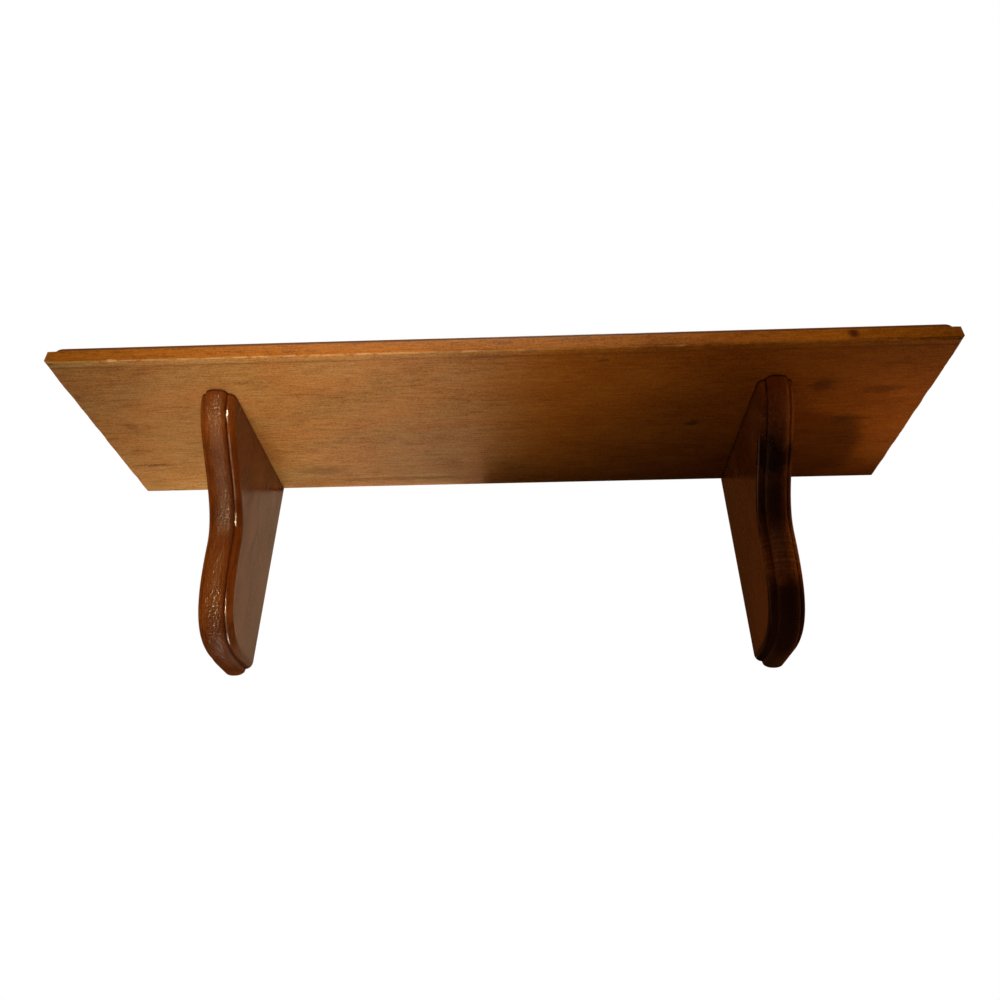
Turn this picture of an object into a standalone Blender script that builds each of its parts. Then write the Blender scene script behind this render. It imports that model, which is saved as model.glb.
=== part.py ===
"""Wall shelf: a moulded board carried by two scroll brackets, hung on keyhole plates.

Metres, +Z up, +X along the shelf, +Y into the wall. The wall is the plane Y = 0, and the
origin is the centre of the board's rear edge.
"""
import math
from collections import namedtuple

import bmesh
import bpy
from mathutils import Vector

# Board, with an ovolo between two small steps along its front and its ends
BOARD_WIDTH = 0.508
BOARD_DEPTH = 0.140
BOARD_THICKNESS = 0.019
OVOLO_RADIUS = 0.0075
TOP_STEP = 0.0025
LEDGE_WIDTH = 0.0026
ARRIS_RADIUS = 0.0008

# Scroll brackets, cut from flat stock with the grain upright
LEFT_BRACKET_INSET = 0.0882
RIGHT_BRACKET_INSET = 0.0938
BRACKET_SETBACK = 0.027
BRACKET_HEIGHT = 0.133
BRACKET_THICKNESS = 0.0205
WAIST_DEPTH = 0.0623
WAIST_DROP = 0.072
WAIST_LEAN = math.radians(3)
FOOT_LENGTH = 0.016
NOSE_FULLNESS = 0.37
HOLLOW_FULLNESS = 0.36
SHANK_FULLNESS = 0.44
BELLY_FULLNESS = 0.88

# Moulding along a bracket's front edge: a rounded crown between two narrow beads
BEAD_WIDTH = 0.0038
BEAD_DEPTH = 0.0044
STEP_WIDTH = 0.0002
STEP_DEPTH = 0.0005
CROWN_RISE = 0.0036
CROWN_SQUARENESS = 2.2

# Slotted screws down through the board into the brackets, under wooden plugs
SCREW_LENGTH = 0.038
SCREW_HEAD_DIAMETER = 0.0082
SCREW_HEAD_RIM = 0.0004
SCREW_SHANK_DIAMETER = 0.0042
SCREW_POINT_LENGTH = 0.005
SCREW_SLOT_WIDTH = 0.0012
SCREW_SLOT_DEPTH = 0.001
REAR_SCREW_FROM_WALL = 0.024
FRONT_SCREW_FROM_NOSE = 0.033
PLUG_DIAMETER = 0.0095
PLUG_LENGTH = 0.006
PLUG_CHAMFER = 0.0005

# Keyhole plates let into the rear edges of the brackets, each held by two small screws
PLATE_DROP = 0.034
PLATE_THICKNESS = 0.0018
PLATE_RIM = 0.0019
PLATE_END_LENGTH = 0.011
KEYHOLE_ENTRY_DIAMETER = 0.0084
KEYHOLE_SLOT_WIDTH = 0.0048
KEYHOLE_SLOT_RISE = 0.0095
HEAD_POCKET_DEPTH = 0.007
PLATE_SCREW_LENGTH = 0.013
PLATE_SCREW_HEAD_DIAMETER = 0.0050
PLATE_SCREW_HEAD_RIM = 0.0002
PLATE_SCREW_SHANK_DIAMETER = 0.0026
PLATE_SCREW_POINT_LENGTH = 0.003
PLATE_SCREW_SLOT_WIDTH = 0.0008
PLATE_SCREW_SLOT_DEPTH = 0.0006

# Clearance between neighbouring pieces, how far a cut runs past a face, and how far
# a pilot hole runs past its screw
FIT_GAP = 0.0003
CUT_MARGIN = 0.002
PILOT_RUN_OUT = 0.001

# Facets
OVOLO_STEPS = 8
ARRIS_STEPS = 3
BEAD_STEPS = 6
CROWN_HALF_STEPS = 5
NOSE_STEPS = 16
BELLY_STEPS = 18
ROUND_STEPS = 24

# Places worked out from the sizes above
UNDERSIDE = -BOARD_THICKNESS / 2
TOP_FACE = BOARD_THICKNESS / 2
BRACKET_DEPTH = BOARD_DEPTH - BRACKET_SETBACK
BRACKET_TOP = UNDERSIDE - FIT_GAP
BRACKET_SIDES = {
    "left": LEFT_BRACKET_INSET - BOARD_WIDTH / 2,
    "right": BOARD_WIDTH / 2 - RIGHT_BRACKET_INSET,
}
PLUG_SEAT = TOP_FACE - PLUG_LENGTH
SCREW_TOP = PLUG_SEAT - FIT_GAP
SCREWS_FROM_WALL = {
    "rear": REAR_SCREW_FROM_WALL,
    "front": BRACKET_DEPTH - FRONT_SCREW_FROM_NOSE,
}
PLATE_WIDTH = KEYHOLE_ENTRY_DIAMETER + 2 * PLATE_RIM
KEYHOLE_LENGTH = KEYHOLE_ENTRY_DIAMETER / 2 + KEYHOLE_SLOT_RISE + KEYHOLE_SLOT_WIDTH / 2
PLATE_LENGTH = KEYHOLE_LENGTH + 2 * PLATE_END_LENGTH
PLATE_Z = UNDERSIDE - PLATE_DROP
ENTRY_Z = PLATE_Z - KEYHOLE_LENGTH / 2 + KEYHOLE_ENTRY_DIAMETER / 2
SLOT_END_Z = ENTRY_Z + KEYHOLE_SLOT_RISE
PLATE_SCREW_OFFSET = (KEYHOLE_LENGTH + PLATE_END_LENGTH) / 2
PLATE_SCREWS_Z = {
    "upper": PLATE_Z + PLATE_SCREW_OFFSET,
    "lower": PLATE_Z - PLATE_SCREW_OFFSET,
}

# The two kinds of screw
Screw = namedtuple("Screw", "length head rim shank point")
SHELF_SCREW = Screw(SCREW_LENGTH, SCREW_HEAD_DIAMETER, SCREW_HEAD_RIM, SCREW_SHANK_DIAMETER,
                    SCREW_POINT_LENGTH)
PLATE_SCREW = Screw(PLATE_SCREW_LENGTH, PLATE_SCREW_HEAD_DIAMETER, PLATE_SCREW_HEAD_RIM,
                    PLATE_SCREW_SHANK_DIAMETER, PLATE_SCREW_POINT_LENGTH)

# Turns a piece that points up so that it points into the wall
TOWARDS_WALL = (math.radians(-90), 0, 0)

# Colour, roughness and metallic value of each kind of piece
BOARD_FINISH = ((0.27, 0.105, 0.030), 0.38, 0.0)
BRACKET_FINISH = ((0.155, 0.042, 0.010), 0.25, 0.0)
PLUG_FINISH = ((0.20, 0.075, 0.022), 0.40, 0.0)
SCREW_FINISH = ((0.55, 0.53, 0.50), 0.35, 1.0)
PLATE_FINISH = ((0.60, 0.54, 0.38), 0.32, 1.0)
SHARP_ANGLE = math.radians(35)


def clear_scene():
    """Starts from an empty scene."""
    for old in list(bpy.data.objects):
        bpy.data.objects.remove(old, do_unlink=True)


def add_object(name, bm, root, location, rotation=(0, 0, 0)):
    """Turns a bmesh into a named object under the root, with its faces pointing out."""
    bmesh.ops.recalc_face_normals(bm, faces=bm.faces[:])
    mesh = bpy.data.meshes.new(name)
    bm.to_mesh(mesh)
    bm.free()
    obj = bpy.data.objects.new(name, mesh)
    bpy.context.scene.collection.objects.link(obj)
    obj.parent = root
    obj.location = location
    obj.rotation_euler = rotation
    return obj


def finish_piece(obj, finish):
    """Gives a piece its own material, with smooth curves and sharp arrises."""
    colour, roughness, metallic = finish
    material = bpy.data.materials.new(obj.name + "_finish")
    material.use_nodes = True
    shader = material.node_tree.nodes["Principled BSDF"]
    shader.inputs["Base Color"].default_value = (*colour, 1.0)
    shader.inputs["Roughness"].default_value = roughness
    shader.inputs["Metallic"].default_value = metallic
    obj.data.materials.append(material)
    obj.data.shade_smooth()
    obj.data.set_sharp_from_angle(angle=SHARP_ANGLE)


def cut(piece, name, bm, location, rotation=(0, 0, 0)):
    """Subtracts a shape from a piece; the shape stays as a hidden cutter."""
    cutter = add_object(f"{name}_cutter", bm, piece.parent, location, rotation)
    cutter.hide_render = True
    cutter.display_type = "WIRE"
    boolean = piece.modifiers.new(cutter.name, "BOOLEAN")
    boolean.operation = "DIFFERENCE"
    boolean.solver = "EXACT"
    boolean.object = cutter


def arc(centre, radius, start, end, steps):
    """Points on an arc, from one angle in degrees to another."""
    points = []
    for i in range(steps + 1):
        angle = math.radians(start + (end - start) * i / steps)
        points.append((centre[0] + radius * math.cos(angle), centre[1] + radius * math.sin(angle)))
    return points


def stadium(width, length):
    """A closed upright outline with round ends, centred on the origin."""
    radius = width / 2
    reach = length / 2 - radius
    half = ROUND_STEPS // 2
    return arc((0, reach), radius, 0, 180, half) + arc((0, -reach), radius, 180, 360, half)


def keyhole():
    """A closed outline with the entry about the origin and the slot above it."""
    radius = KEYHOLE_ENTRY_DIAMETER / 2
    half = KEYHOLE_SLOT_WIDTH / 2
    meet = math.degrees(math.acos(half / radius))
    entry = arc((0, 0), radius, 180 - meet, 360 + meet, ROUND_STEPS)
    return entry + arc((0, KEYHOLE_SLOT_RISE), half, 0, 180, ROUND_STEPS // 2)


def prism(outline, low, high):
    """Extrudes a closed (x, z) outline along Y."""
    bm = bmesh.new()
    near = [bm.verts.new((x, low, z)) for x, z in outline]
    far = [bm.verts.new((x, high, z)) for x, z in outline]
    bm.faces.new(near)
    bm.faces.new(far)
    for i in range(len(outline)):
        j = (i + 1) % len(outline)
        bm.faces.new((near[i], near[j], far[j], far[i]))
    return bm


def turned(profile):
    """Turns (radius, height) points about Z, from a first to a last point on the axis."""
    bm = bmesh.new()
    rings = []
    for radius, height in profile[1:-1]:
        ring = arc((0, 0), radius, 0, 360, ROUND_STEPS)[:-1]
        rings.append([bm.verts.new((x, y, height)) for x, y in ring])
    first = bm.verts.new((0, 0, profile[0][1]))
    last = bm.verts.new((0, 0, profile[-1][1]))
    for i in range(ROUND_STEPS):
        j = (i + 1) % ROUND_STEPS
        bm.faces.new((first, rings[0][i], rings[0][j]))
        bm.faces.new((last, rings[-1][j], rings[-1][i]))
        for low, high in zip(rings, rings[1:]):
            bm.faces.new((low[i], high[i], high[j], low[j]))
    return bm


def drill(diameter, low, high):
    """A plain round cutter along Z."""
    radius = diameter / 2
    return turned([(0, low), (radius, low), (radius, high), (0, high)])


def edge_profile():
    """The board's edge from the underside up: (inset, height above the underside)."""
    ease = ARRIS_RADIUS
    ledge = BOARD_THICKNESS - TOP_STEP - OVOLO_RADIUS
    shoulder = LEDGE_WIDTH + OVOLO_RADIUS
    profile = arc((ease, ease), ease, 270, 180, ARRIS_STEPS)
    profile += arc((ease, ledge - ease), ease, 180, 90, ARRIS_STEPS)
    profile += arc((shoulder, ledge), OVOLO_RADIUS, 180, 90, OVOLO_STEPS)
    profile += arc((shoulder + ease, BOARD_THICKNESS - ease), ease, 180, 90, ARRIS_STEPS)
    return profile


def board_solid():
    """Stacks the edge profile as rectangles that keep the rear edge on the wall."""
    bm = bmesh.new()
    rings = []
    for inset, height in edge_profile():
        x = BOARD_WIDTH / 2 - inset
        y = -(BOARD_DEPTH - inset)
        z = UNDERSIDE + height
        corners = ((-x, 0, z), (-x, y, z), (x, y, z), (x, 0, z))
        rings.append([bm.verts.new(corner) for corner in corners])
    bm.faces.new(rings[0])
    bm.faces.new(rings[-1])
    for low, high in zip(rings, rings[1:]):
        for i in range(3):
            bm.faces.new((low[i], low[i + 1], high[i + 1], high[i]))
    bm.faces.new([ring[0] for ring in rings] + [ring[3] for ring in reversed(rings)])
    return bm


def bezier(a, b, c, d, steps):
    """Points and unit tangents along a cubic curve."""
    stretch = []
    for i in range(steps + 1):
        t = i / steps
        s = 1 - t
        place = a * s**3 + b * (3 * s * s * t) + c * (3 * s * t * t) + d * t**3
        tangent = (b - a) * (s * s) + (c - b) * (2 * s * t) + (d - c) * (t * t)
        stretch.append((place, tangent.normalized()))
    return stretch


def scroll_outline(inset):
    """The front edge from nose to foot, set in by a distance: (from the wall, up from the top)."""
    nose = Vector((BRACKET_DEPTH, 0))
    waist = Vector((WAIST_DEPTH, -WAIST_DROP))
    foot = Vector((FOOT_LENGTH, -BRACKET_HEIGHT))
    shank = Vector((-math.sin(WAIST_LEAN), -math.cos(WAIST_LEAN)))
    shank_drop = BRACKET_HEIGHT - WAIST_DROP
    below_nose = nose - Vector((0, NOSE_FULLNESS * WAIST_DROP))
    above_waist = waist - shank * (HOLLOW_FULLNESS * WAIST_DROP)
    below_waist = waist + shank * (SHANK_FULLNESS * shank_drop)
    before_foot = foot + Vector((BELLY_FULLNESS * (WAIST_DEPTH - FOOT_LENGTH), 0))
    curve = bezier(nose, below_nose, above_waist, waist, NOSE_STEPS)
    curve += bezier(waist, below_waist, before_foot, foot, BELLY_STEPS)[1:]
    outline = []
    for place, tangent in curve:
        inward = Vector((tangent.y, -tangent.x))
        outline.append(place + inward * inset)
    outline.append(Vector((0, outline[-1].y)))
    return outline


def bracket_moulding():
    """The front edge across its thickness: (from the middle, inset from the crown)."""
    half = BRACKET_THICKNESS / 2
    crown_half = half - BEAD_WIDTH - STEP_WIDTH
    shoulder = CROWN_RISE + STEP_DEPTH
    bead = []
    for i in range(BEAD_STEPS + 1):
        angle = math.pi / 2 * i / BEAD_STEPS
        across = half - BEAD_WIDTH * (1 - math.cos(angle))
        bead.append((across, shoulder + BEAD_DEPTH * (1 - math.sin(angle))))
    crown = [(0, 0)]
    for i in range(1, CROWN_HALF_STEPS + 1):
        angle = math.pi / 2 * i / CROWN_HALF_STEPS
        across = crown_half * math.sin(angle) ** (2 / CROWN_SQUARENESS)
        drop = CROWN_RISE * (1 - abs(math.cos(angle)) ** (2 / CROWN_SQUARENESS))
        crown.append((across, drop))
    half_edge = crown + bead[::-1]
    return [(-across, inset) for across, inset in half_edge[:0:-1]] + half_edge


def bracket_solid():
    """Runs the moulding along the scroll; the top and the rear edge are flat."""
    bm = bmesh.new()
    rows = []
    for across, inset in bracket_moulding():
        outline = scroll_outline(inset)
        rows.append([bm.verts.new((across, -point.x, point.y)) for point in outline])
    left = bm.verts.new((-BRACKET_THICKNESS / 2, 0, 0))
    right = bm.verts.new((BRACKET_THICKNESS / 2, 0, 0))
    for row, following in zip(rows, rows[1:]):
        for j in range(len(row) - 1):
            bm.faces.new((row[j], row[j + 1], following[j + 1], following[j]))
    bm.faces.new(rows[0] + [left])
    bm.faces.new(rows[-1] + [right])
    bm.faces.new([row[-1] for row in rows] + [right, left])
    bm.faces.new([row[0] for row in rows] + [right, left])
    return bm


def screw_profile(screw, gap=0.0):
    """A countersunk screw up to its rim, with the top of its head at 0: (radius, height)."""
    shank_radius = screw.shank / 2 + gap
    cone = (screw.head - screw.shank) / 2
    return [
        (0, -screw.length),
        (shank_radius / 4, -screw.length),
        (shank_radius, -screw.length + screw.point),
        (shank_radius, -screw.rim - cone),
        (screw.head / 2 + gap, -screw.rim),
    ]


def screw_solid(screw):
    """A countersunk screw with the top of its head at 0."""
    return turned(screw_profile(screw) + [(screw.head / 2, 0), (0, 0)])


def plugged_way():
    """The way for a screw down through the board, with the bore for its plug above it."""
    head_radius = SHELF_SCREW.head / 2 + FIT_GAP
    bore_radius = PLUG_DIAMETER / 2 + FIT_GAP
    mouth = TOP_FACE - SCREW_TOP + CUT_MARGIN
    return turned(screw_profile(SHELF_SCREW, FIT_GAP) + [
        (head_radius, -FIT_GAP),
        (bore_radius, -FIT_GAP),
        (bore_radius, mouth),
        (0, mouth),
    ])


def flush_way():
    """The way for a screw through a keyhole plate."""
    head_radius = PLATE_SCREW.head / 2 + FIT_GAP
    mouth = [(head_radius, CUT_MARGIN), (0, CUT_MARGIN)]
    return turned(screw_profile(PLATE_SCREW, FIT_GAP) + mouth)


def slot_solid(width, depth, length):
    """A bar that cuts a screwdriver slot across a head whose top is at 0."""
    half = width / 2
    outline = ((-half, -depth), (half, -depth), (half, CUT_MARGIN), (-half, CUT_MARGIN))
    return prism(outline, -length / 2, length / 2)


def build_board(root):
    """The board, counterbored from above for its screws and plugs."""
    board = add_object("shelf_board", board_solid(), root, (0, 0, 0))
    for side, x in BRACKET_SIDES.items():
        for place, from_wall in SCREWS_FROM_WALL.items():
            cut(board, f"screw_way_{place}_{side}", plugged_way(), (x, -from_wall, SCREW_TOP))
    finish_piece(board, BOARD_FINISH)


def build_bracket(side, x, root):
    """One bracket, drilled for its screws and recessed for its keyhole plate."""
    bracket = add_object(f"bracket_{side}", bracket_solid(), root, (x, 0, BRACKET_TOP))
    for place, from_wall in SCREWS_FROM_WALL.items():
        pilot = drill(SCREW_SHANK_DIAMETER + 2 * FIT_GAP, -SCREW_LENGTH - PILOT_RUN_OUT, 0)
        cut(bracket, f"pilot_{place}_{side}", pilot, (x, -from_wall, SCREW_TOP))
    recess_outline = stadium(PLATE_WIDTH + 2 * FIT_GAP, PLATE_LENGTH + 2 * FIT_GAP)
    recess = prism(recess_outline, -PLATE_THICKNESS - FIT_GAP, CUT_MARGIN)
    cut(bracket, f"plate_recess_{side}", recess, (x, 0, PLATE_Z))
    pocket_outline = stadium(KEYHOLE_ENTRY_DIAMETER, KEYHOLE_SLOT_RISE + KEYHOLE_ENTRY_DIAMETER)
    pocket = prism(pocket_outline, -PLATE_THICKNESS - HEAD_POCKET_DEPTH, CUT_MARGIN)
    cut(bracket, f"head_pocket_{side}", pocket, (x, 0, (ENTRY_Z + SLOT_END_Z) / 2))
    for place, z in PLATE_SCREWS_Z.items():
        pilot = drill(PLATE_SCREW_SHANK_DIAMETER + 2 * FIT_GAP,
                      -PLATE_SCREW_LENGTH - PILOT_RUN_OUT, CUT_MARGIN)
        cut(bracket, f"plate_pilot_{place}_{side}", pilot, (x, 0, z), TOWARDS_WALL)
    finish_piece(bracket, BRACKET_FINISH)


def build_shelf_screws(side, x, root):
    """The screws that pull a bracket up to the board, and the plugs over their heads."""
    radius = PLUG_DIAMETER / 2
    plug_profile = [(0, 0), (radius - PLUG_CHAMFER, 0), (radius, PLUG_CHAMFER),
                    (radius, PLUG_LENGTH), (0, PLUG_LENGTH)]
    for place, from_wall in SCREWS_FROM_WALL.items():
        at = (x, -from_wall, SCREW_TOP)
        screw = add_object(f"shelf_screw_{place}_{side}", screw_solid(SHELF_SCREW), root, at)
        slot = slot_solid(SCREW_SLOT_WIDTH, SCREW_SLOT_DEPTH, 2 * SCREW_HEAD_DIAMETER)
        cut(screw, f"screw_slot_{place}_{side}", slot, at)
        finish_piece(screw, SCREW_FINISH)
        plug = add_object(f"plug_{place}_{side}", turned(plug_profile), root,
                          (x, -from_wall, PLUG_SEAT))
        finish_piece(plug, PLUG_FINISH)


def build_keyhole_plate(side, x, root):
    """A steel plate with a keyhole and two countersunk holes, flush with the wall."""
    body = prism(stadium(PLATE_WIDTH, PLATE_LENGTH), -PLATE_THICKNESS, 0)
    plate = add_object(f"keyhole_plate_{side}", body, root, (x, 0, PLATE_Z))
    through = -PLATE_THICKNESS - CUT_MARGIN
    cut(plate, f"keyhole_{side}", prism(keyhole(), through, CUT_MARGIN), (x, 0, ENTRY_Z))
    for place, z in PLATE_SCREWS_Z.items():
        cut(plate, f"plate_screw_way_{place}_{side}", flush_way(), (x, 0, z), TOWARDS_WALL)
    finish_piece(plate, PLATE_FINISH)


def build_plate_screws(side, x, root):
    """The small screws that hold a keyhole plate."""
    for place, z in PLATE_SCREWS_Z.items():
        at = (x, 0, z)
        name = f"plate_screw_{place}_{side}"
        screw = add_object(name, screw_solid(PLATE_SCREW), root, at, TOWARDS_WALL)
        slot = slot_solid(PLATE_SCREW_SLOT_WIDTH, PLATE_SCREW_SLOT_DEPTH,
                          2 * PLATE_SCREW_HEAD_DIAMETER)
        cut(screw, f"plate_screw_slot_{place}_{side}", slot, at, TOWARDS_WALL)
        finish_piece(screw, SCREW_FINISH)


def main():
    """Builds every piece of the shelf under one empty."""
    clear_scene()
    root = bpy.data.objects.new("wall_shelf", None)
    bpy.context.scene.collection.objects.link(root)
    build_board(root)
    for side, x in BRACKET_SIDES.items():
        build_bracket(side, x, root)
        build_shelf_screws(side, x, root)
        build_keyhole_plate(side, x, root)
        build_plate_screws(side, x, root)


main()
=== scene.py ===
"""Looks of the wall shelf: finer wooden pieces, their finish, the studio and the camera.

Metres, +Z up, +X along the shelf, +Y into the wall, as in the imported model. Textures are
laid out in millimetres.
"""
import math

import bmesh
import bpy
from mathutils import Matrix, Vector, noise


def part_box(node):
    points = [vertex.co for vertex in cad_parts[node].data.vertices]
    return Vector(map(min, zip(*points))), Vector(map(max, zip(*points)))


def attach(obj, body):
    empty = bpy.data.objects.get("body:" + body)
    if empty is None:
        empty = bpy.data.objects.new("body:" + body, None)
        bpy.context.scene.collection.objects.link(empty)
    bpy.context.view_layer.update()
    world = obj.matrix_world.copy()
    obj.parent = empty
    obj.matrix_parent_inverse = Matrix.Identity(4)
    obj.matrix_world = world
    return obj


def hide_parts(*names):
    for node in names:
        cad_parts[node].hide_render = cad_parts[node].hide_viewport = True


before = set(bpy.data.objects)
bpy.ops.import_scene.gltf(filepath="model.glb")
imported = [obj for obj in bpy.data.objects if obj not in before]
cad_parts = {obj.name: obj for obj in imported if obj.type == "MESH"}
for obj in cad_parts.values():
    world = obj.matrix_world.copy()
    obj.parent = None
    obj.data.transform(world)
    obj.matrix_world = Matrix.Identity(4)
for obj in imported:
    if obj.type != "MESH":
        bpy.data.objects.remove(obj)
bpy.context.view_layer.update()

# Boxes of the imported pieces, which give the sizes and the places here
BOARD_LOW, BOARD_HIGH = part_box("shelf_board")
BRACKET_LOW, BRACKET_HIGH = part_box("bracket_right")
PLATE_LOW, PLATE_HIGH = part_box("keyhole_plate_right")
PLUG_LOW, PLUG_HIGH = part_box("plug_front_right")
SCREW_LOW, SCREW_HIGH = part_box("shelf_screw_front_right")
PLATE_SCREW_LOW, PLATE_SCREW_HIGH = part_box("plate_screw_upper_right")
SIDES = ("left", "right")

BOARD_HALF = BOARD_HIGH.x
BOARD_DEPTH = -BOARD_LOW.y
BOARD_THICKNESS = BOARD_HIGH.z - BOARD_LOW.z
BRACKET_HALF = (BRACKET_HIGH.x - BRACKET_LOW.x) / 2
BRACKET_DEPTH = -BRACKET_LOW.y
BRACKET_HEIGHT = BRACKET_HIGH.z - BRACKET_LOW.z
FIT_GAP = 0.0003
CUT_MARGIN = 0.002

# Edge moulding of the board, with its arrises more rounded than in the solid
OVOLO_RADIUS = 0.0075
TOP_STEP = 0.0025
LEDGE_WIDTH = 0.0026
LOWER_ARRIS = 0.0014
ARRIS = 0.0009

# Scroll and moulding of a bracket's front edge
WAIST_DEPTH = 0.0623
WAIST_DROP = 0.072
WAIST_LEAN = math.radians(3)
FOOT_LENGTH = 0.016
NOSE_FULLNESS = 0.37
HOLLOW_FULLNESS = 0.36
SHANK_FULLNESS = 0.44
BELLY_FULLNESS = 0.88
BEAD_WIDTH = 0.0038
BEAD_DEPTH = 0.0044
STEP_WIDTH = 0.0002
STEP_DEPTH = 0.0005
CROWN_RISE = 0.0036
CROWN_SQUARENESS = 2.2

# Ways for the screws, and the keyhole plates
SCREW_HEAD_RADIUS = (SCREW_HIGH.x - SCREW_LOW.x) / 2
SCREW_SHANK_RADIUS = 0.0021
SCREW_RIM = 0.0004
PLATE_SCREW_SHANK_RADIUS = 0.0013
PLATE_SCREW_RIM = 0.0002
KEYHOLE_ENTRY_RADIUS = 0.0042
KEYHOLE_SLOT_HALF = 0.0024
KEYHOLE_RISE = 0.0095
HEAD_POCKET_DEPTH = 0.007
PLATE_BEVEL = 0.00022
PLUG_CHAMFER = 0.06

# Wear on the board's lower arris: depth, grain of the noise along it, and nicks as
# (distance along the rim from the left rear corner, length, depth)
WEAR_DEPTH = 0.00045
WEAR_GRAIN = 0.011
CORNER_WEAR = 0.0009
CORNER_REACH = 0.004
NICK_GRAIN = 0.0013
FRONT_START = BOARD_DEPTH
NICKS = (
    (FRONT_START + BOARD_HALF - 0.2155, 0.0026, 0.0030),
    (FRONT_START + BOARD_HALF + 0.1020, 0.0035, 0.0006),
    (FRONT_START + BOARD_HALF + 0.2185, 0.0022, 0.0009),
)

# Marks on the underside in millimetres: (x, y, half length, half width), and how dark
MARKS = (
    ((119.7, -66.9, 5.0, 4.0), 0.75),
    ((189.0, -102.0, 9.5, 10.0), 0.60),
    ((216.0, -68.1, 17.0, 6.0), 0.50),
    ((224.7, -96.6, 18.0, 5.0), 0.50),
    ((58.9, -128.7, 2.6, 1.6), 0.80),
    ((-16.5, -95.1, 2.4, 1.8), 0.50),
    ((-236.0, -50.0, 8.0, 3.0), 0.45),
    ((-231.5, -78.2, 6.0, 6.0), 0.40),
    ((-235.0, -33.5, 22.0, 1.6), 0.70),
    # This mark lies against the left bracket's inner face at the rear.
    ((-125.0, -22.0, 26.0, 8.0), 0.38),
)

# A knot on the front edge, in the same way but in x and z
KNOT = ((195.8, -4.4, 4.6, 4.6), 0.90)

# Dark patches on the brackets' moulded edges in millimetres along the scroll: (start, end,
# how dark); on the left bracket stains, on the right bracket painted shade. Also the
# stretch with the marks of the cutter
STAINS_AND_SHADE = {
    "left": ((32, 82, 0.32), (136, 190, 0.50)),
    "right": ((30, 40, 0.40), (40, 58, 0.97), (62, 88, 0.62), (122, 260, 0.94)),
}
CUTTER_MARKS = {"left": (128, 152), "right": (92, 116)}
# Painted highlights on the ridges of the cutter marks, by side
RIDGE_HIGHLIGHT = {"left": 0.12, "right": 0.8}
# Painted shade on the brackets' side faces, by side
CHEEK_SHADE = {"left": 0.9, "right": 0.4}
# Painted glints on the brackets' fronts, by side
GLINT_SPECKS = {"left": 0.0, "right": 0.35}

# Facets
ARRIS_STEPS = 6
OVOLO_STEPS = 20
END_STEPS = 90
FRONT_STEPS = 760
BEAD_STEPS = 12
CROWN_STEPS = 14
NOSE_STEPS = 44
BELLY_STEPS = 52
ROUND_STEPS = 40
SMOOTH_ANGLE = math.radians(40)

# Camera that took the photograph: place, turn, pitch, roll, and a lens for a square frame
CAMERA_PLACE = Vector((0.0145, -0.4656, -0.2944))
CAMERA_YAW = math.radians(2.17)
CAMERA_PITCH = math.radians(33.89)
CAMERA_ROLL = math.radians(0.14)
CAMERA_SENSOR = 36.0
CAMERA_LENS = CAMERA_SENSOR * 0.7806
CAMERA_SHIFT = -0.05

# Gloss of the varnish: specular levels, and roughness as (least, most)
WOOD_GLOSS = 0.18
WOOD_ROUGHNESS = (0.34, 0.44)
BRACKET_GLOSS = 0.32
BRACKET_ROUGHNESS = (0.11, 0.19)
CHEEK_DULLNESS = (0.05, 0.14)

# Tints of the lamps
PALE = (1.0, 0.93, 0.82)
WARM = (1.0, 0.80, 0.50)
AMBER = (1.0, 0.66, 0.32)
SHEEN = (1.0, 0.62, 0.36)

# Lamps fitted to the light in the photograph: (name, place, target, size, power in watts,
# tint, spread in degrees, rays that they act on)
FULL_SPREAD = 180
LAMPS = (
    ("window", (0.03, -0.97, -0.50), (-0.16, -0.09, -0.06), (0.10, 0.4),
     0.19, WARM, 21, "diffuse"),
    ("window_sheen", (-0.172, -0.97, -0.50), (-0.155, -0.09, -0.06), (0.03, 0.42),
     0.31, WARM, 21, "glossy"),
    ("window_low", (0.00, -0.72, -0.98), (-0.165, -0.08, -0.05), (0.10, 0.3),
     0.024, WARM, 14, "all"),
    ("lift", (-0.22, 0.10, -0.80), (-0.18, -0.05, -0.01), (0.12, 0.25),
     0.045, PALE, 15, "all"),
    ("lift_front", (-0.06, -0.13, -0.80), (-0.080, -0.12, -0.01), (0.10, 0.12),
     0.012, WARM, 12, "all"),
    ("lift_right", (-0.175, 0.05, -0.90), (0.262, -0.075, -0.01), (0.08, 0.08),
     0.012, AMBER, 8, "diffuse"),
    ("front", (0.02, -0.66, -0.32), (0.03, -0.14, -0.008), (0.4, 0.07),
     0.032, AMBER, 13, "diffuse"),
    ("front_mid", (-0.01, -0.62, -0.42), (0.00, -0.125, -0.01), (0.16, 0.08),
     0.017, PALE, 12, "diffuse"),
    ("top", (-0.2, -0.9, 1.2), (0, -0.07, 0), (0.9, 0.9),
     15.0, WARM, FULL_SPREAD, "all"),
    ("rear", (0.1, 0.8, 1.4), (0, 0, -0.05), (0.6, 0.6),
     5.0, PALE, FULL_SPREAD, "all"),
    ("back", (0, 1.6, 0.05), (0, 0, -0.05), (0.1, 0.08),
     0.75, PALE, 24, "diffuse"),
    ("side_right", (1.5, -0.06, 0.05), (0.16, -0.06, -0.06), (0.08, 0.08),
     0.10, PALE, 16, "diffuse"),
    ("side_left", (-1.5, -0.06, 0.05), (-0.16, -0.06, -0.06), (0.08, 0.08),
     0.08, PALE, 16, "diffuse"),
)

# Glowing cards in the plane of the wall: (name, left end, right end, power, tint, rays)
CARDS = (
    ("card_left", -0.700, -0.195, 0.60, WARM, "diffuse"),
    ("card_strip", -0.156, -0.125, 0.012, WARM, "all"),
    ("card_middle", -0.125, -0.032, 0.150, PALE, "diffuse"),
    ("card_sheen", -0.125, -0.015, 0.145, SHEEN, "glossy"),
    ("card_right", 0.265, 0.700, 0.40, AMBER, "diffuse"),
)
CARD_DROP = 0.25
CARD_BEHIND = 0.004

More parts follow.
